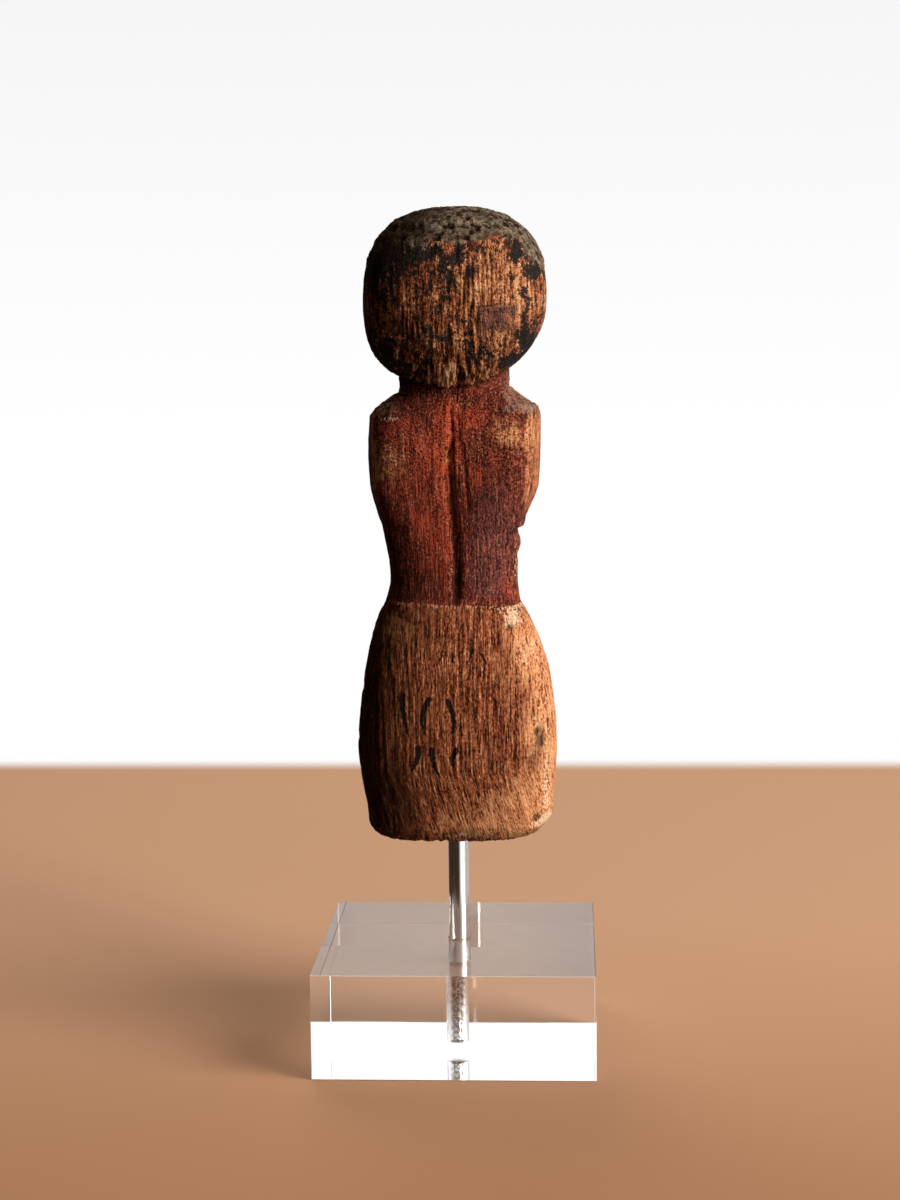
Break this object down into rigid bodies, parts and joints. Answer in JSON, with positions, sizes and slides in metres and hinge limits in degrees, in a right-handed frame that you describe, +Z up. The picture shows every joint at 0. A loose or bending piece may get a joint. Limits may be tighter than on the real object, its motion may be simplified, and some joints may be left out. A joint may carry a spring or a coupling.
{
  "type": "wooden funerary statuette",
  "caption": "Armless carved wooden tomb figure with round wig and kilt, worn red and black paint, held on a steel rod in a clear square acrylic block.",
  "frame": {"origin": "centre of the acrylic block's underside", "axes": "+Z up along the rod; the figure faces +Y, its back is towards -Y and its right side towards +X"},
  "size_m": [0.08, 0.08, 0.2433],
  "materials": {
    "painted_wood": "aged bare wood with worn red and black paint",
    "polished_steel": "polished",
    "clear_acrylic": "clear, polished"
  },
  "bodies": {
    "root": {"statuette": "painted_wood", "mounting_rod": "polished_steel", "acrylic_block": "clear_acrylic"}
  },
  "joints": []
}
